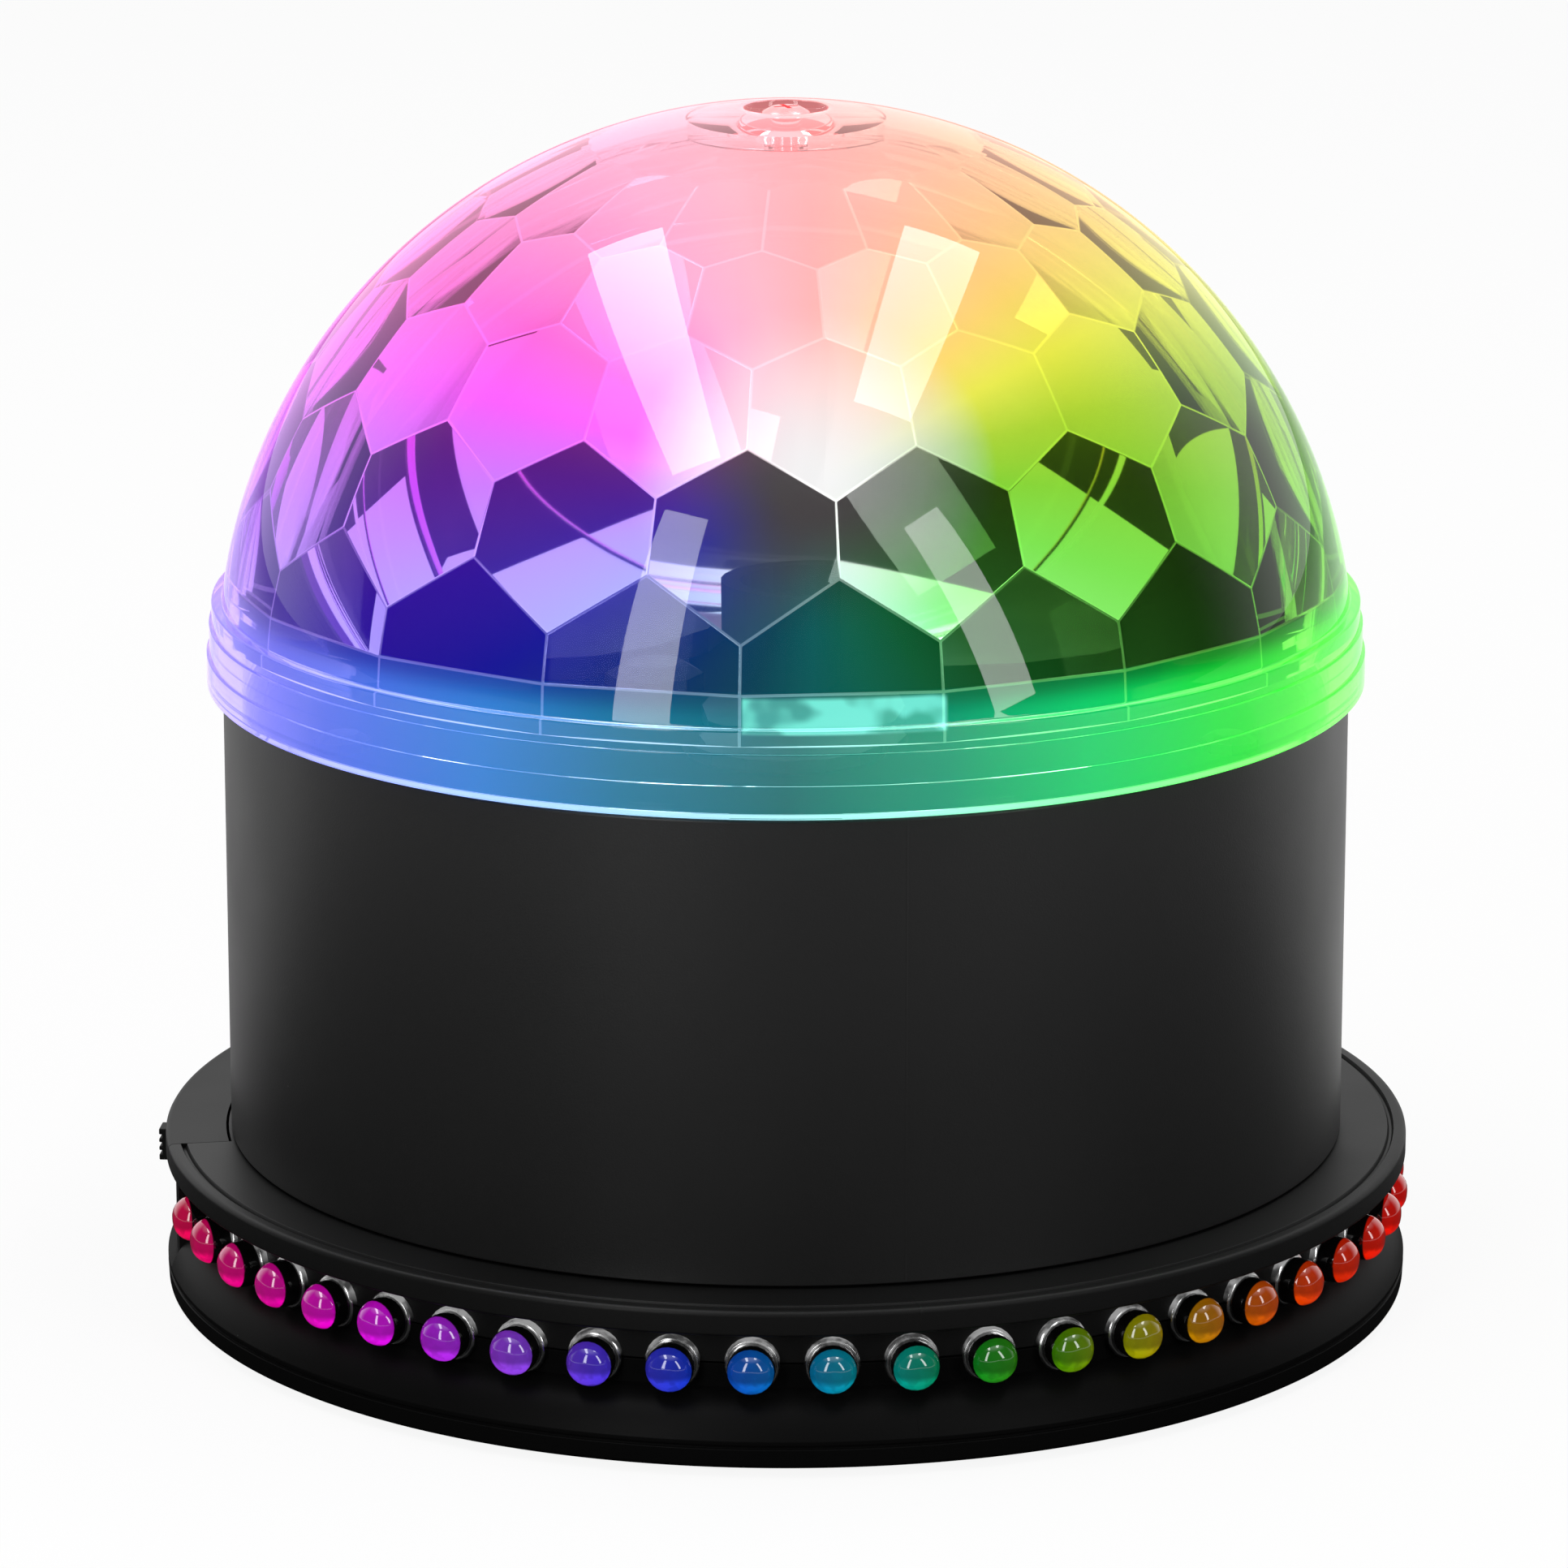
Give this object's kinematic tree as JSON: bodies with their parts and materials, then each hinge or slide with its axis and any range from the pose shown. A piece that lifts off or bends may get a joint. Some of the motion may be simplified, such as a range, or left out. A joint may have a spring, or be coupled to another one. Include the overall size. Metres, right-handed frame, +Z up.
{
  "type": "led disco ball light",
  "caption": "Table-top party light: a clear faceted dome turned by a motor over lamps in a round black body, on a base ringed with small coloured diodes.",
  "frame": {"origin": "on the table, under the middle of the base", "axes": "+Z up along the dome's axis of rotation, the front of the body looks along -Y, +X is to the right seen from the front"},
  "size_m": [0.1377, 0.1365, 0.1297],
  "materials": {
    "black_plastic": "fine moulded satin texture",
    "deck_plastic": "smooth black moulding with fine dust",
    "control_plastic": "plain black",
    "diode_plastic": "clear round lenses lit in changing colours round the ring",
    "tinted_clear_plastic": "polished clear moulding lit in every colour round its face",
    "clear_plastic": "polished clear",
    "screw_steel": "plated",
    "motor_steel": "plated sheet",
    "bare_aluminium": "bare",
    "white_board": "white lacquer",
    "emitter": "phosphor dome",
    "circuit_board": "green lacquer",
    "component_plastic": "shrink sleeve",
    "foot_rubber": "matte",
    "lead_rubber": "matte sleeve"
  },
  "bodies": {
    "housing": {"base_lower_shell": "black_plastic", "base_upper_shell": "black_plastic", "control_panel": "black_plastic", "body_shell": "black_plastic", "deck_plate": "deck_plastic", "led_strip_1": "diode_plastic", "led_strip_2": "diode_plastic", "led_strip_3": "diode_plastic", "led_strip_4": "diode_plastic", "led_strip_5": "diode_plastic", "led_strip_6": "diode_plastic", "led_strip_7": "diode_plastic", "led_strip_8": "diode_plastic", "led_strip_9": "diode_plastic", "switch_body": "control_plastic", "power_inlet": "control_plastic", "microphone": "bare_aluminium", "sensitivity_pot": "component_plastic", "motor_body": "motor_steel", "motor_bracket": "motor_steel", "motor_screw_1": "screw_steel", "motor_screw_2": "screw_steel", "heat_sink": "bare_aluminium", "heat_sink_screw_1": "screw_steel", "heat_sink_screw_2": "screw_steel", "heat_sink_screw_3": "screw_steel", "lamp_board": "white_board", "lamp_emitter_1": "emitter", "lamp_emitter_2": "emitter", "lamp_emitter_3": "emitter", "lamp_lens_1": "clear_plastic", "lamp_lens_2": "clear_plastic", "lamp_lens_3": "clear_plastic", "deck_screw_1": "screw_steel", "deck_screw_2": "screw_steel", "deck_screw_3": "screw_steel", "base_screw_1": "screw_steel", "base_screw_2": "screw_steel", "base_screw_3": "screw_steel", "base_screw_4": "screw_steel", "foot_1": "foot_rubber", "foot_2": "foot_rubber", "foot_3": "foot_rubber", "foot_4": "foot_rubber", "driver_board": "circuit_board", "board_screw_1": "screw_steel", "board_screw_2": "screw_steel", "filter_capacitor": "component_plastic", "driver_chip": "control_plastic", "lamp_lead": "lead_rubber", "motor_lead": "lead_rubber"},
    "dome": {"dome_lens": "tinted_clear_plastic", "dome_screw": "screw_steel", "dome_washer": "screw_steel", "drive_pillar": "clear_plastic", "drive_hub": "control_plastic", "motor_shaft": "screw_steel"},
    "mode_switch": {"switch_lever": "control_plastic"},
    "sensitivity": {"sensitivity_knob": "control_plastic"}
  },
  "joints": [
    {"name": "dome_spin", "type": "hinge", "parent": "housing", "child": "dome", "pos_m": [0, 0, 0.066], "axis": [0, 0, 1], "continuous": true},
    {"name": "mode_slide", "type": "slide", "parent": "housing", "child": "mode_switch", "axis": [0, 0, 1], "range_m": [-0.004, 0]},
    {"name": "sensitivity_turn", "type": "hinge", "parent": "housing", "child": "sensitivity", "pos_m": [0, 0.0611, 0.0482], "axis": [0, 1, 0], "range_deg": [-135, 135]}
  ]
}
